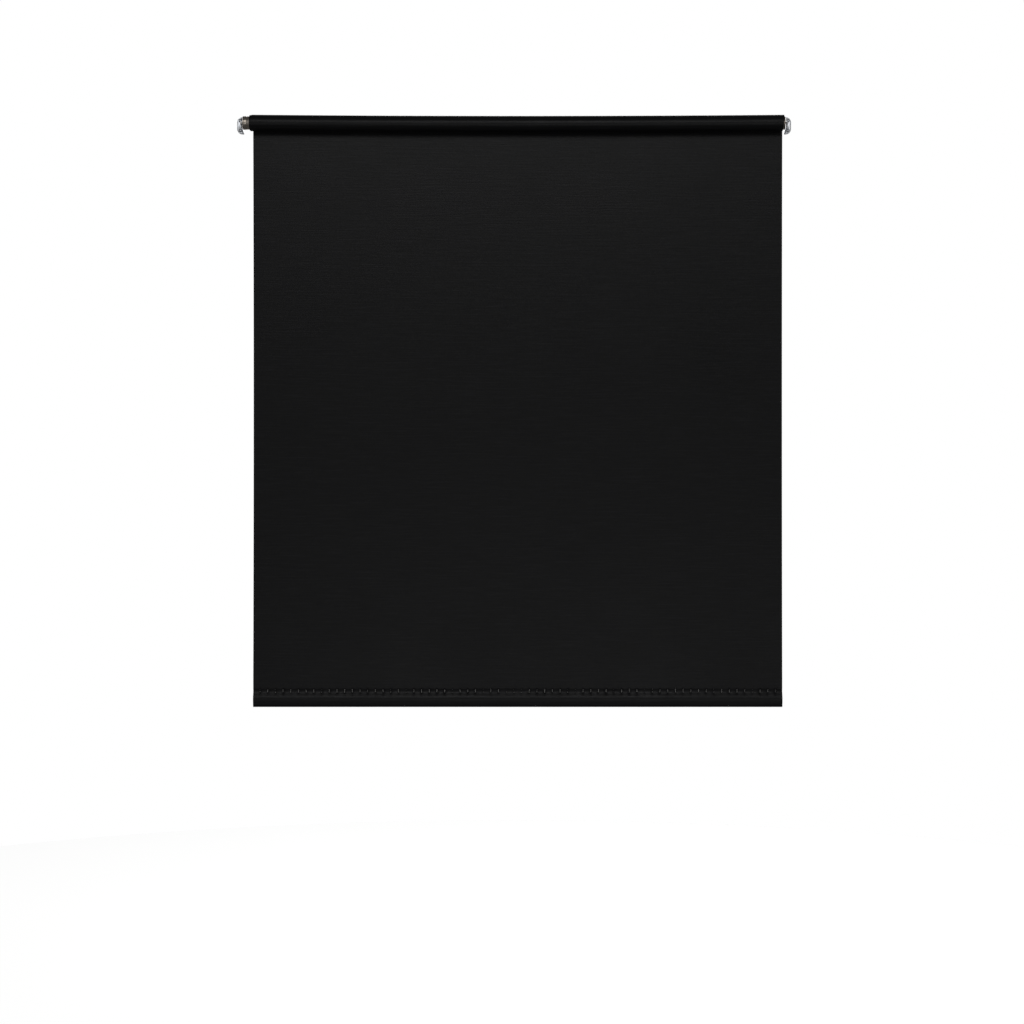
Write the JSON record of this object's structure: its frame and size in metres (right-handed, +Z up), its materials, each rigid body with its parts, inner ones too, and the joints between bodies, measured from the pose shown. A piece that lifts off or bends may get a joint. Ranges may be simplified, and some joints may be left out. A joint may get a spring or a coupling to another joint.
{
  "type": "roller blind",
  "caption": "Cordless spring roller blind: black room-darkening cloth with a slatted hem, wound on a ratcheting roller between two stamped casing brackets.",
  "frame": {"origin": "on the face of the window casing, at the height of the roller's axis and above the middle of the cloth", "axes": "+X along the roller to the viewer's right, towards the round-pin end; +Y into the wall; +Z up"},
  "size_m": [0.9592, 0.0502, 1.021],
  "materials": {
    "vinyl_cloth": "satin",
    "thread": "satin",
    "zinc_plate": "satin",
    "nickel_plate": "satin",
    "bare_steel": "satin",
    "nylon": "satin",
    "pine": "matte",
    "tape": "gloss"
  },
  "bodies": {
    "brackets": {"left_bracket": "zinc_plate", "right_bracket": "zinc_plate", "left_upper_screw": "zinc_plate", "left_lower_screw": "zinc_plate", "right_upper_screw": "zinc_plate", "right_lower_screw": "zinc_plate", "spear_spindle": "nickel_plate", "ratchet_wheel": "bare_steel", "spring_arbor": "pine", "arbor_sleeve": "bare_steel", "torsion_spring": "bare_steel"},
    "roller": {"roller_tube": "nickel_plate", "left_ferrule": "nickel_plate", "spindle_bush": "nylon", "pawl_guard": "nickel_plate", "upper_pawl_rivet": "bare_steel", "lower_pawl_rivet": "bare_steel", "spring_anchor_plug": "nylon", "right_end_plug": "pine", "right_end_cap": "nickel_plate", "gudgeon_pin": "nickel_plate", "fixing_tape": "tape", "wound_cloth": "vinyl_cloth"},
    "upper_pawl": {"upper_pawl": "bare_steel"},
    "lower_pawl": {"lower_pawl": "bare_steel"},
    "hem": {"hanging_cloth": "vinyl_cloth", "hem_pocket": "vinyl_cloth", "hem_slat": "pine", "hem_thread": "thread"}
  },
  "joints": [
    {"name": "roller_turn", "type": "hinge", "parent": "brackets", "child": "roller", "pos_m": [0, -0.022, 0], "axis": [1, 0, 0], "range_deg": [-2880, 3960]},
    {"name": "hem_travel", "type": "slide", "parent": "brackets", "child": "hem", "axis": [0, 0, 1], "range_m": [-0.704, 0.968], "deforming": ["hanging_cloth"]},
    {"name": "upper_pawl_swing", "type": "hinge", "parent": "roller", "child": "upper_pawl", "pos_m": [0, -0.01656, 0.00544], "axis": [1, 0, 0], "range_deg": [0, 18]},
    {"name": "lower_pawl_swing", "type": "hinge", "parent": "roller", "child": "lower_pawl", "pos_m": [0, -0.02744, -0.00544], "axis": [1, 0, 0], "range_deg": [0, 18]}
  ],
  "couplings": [
    {"joint": "hem_travel", "follows": "roller_turn", "m_per_rad": 0.014}
  ]
}
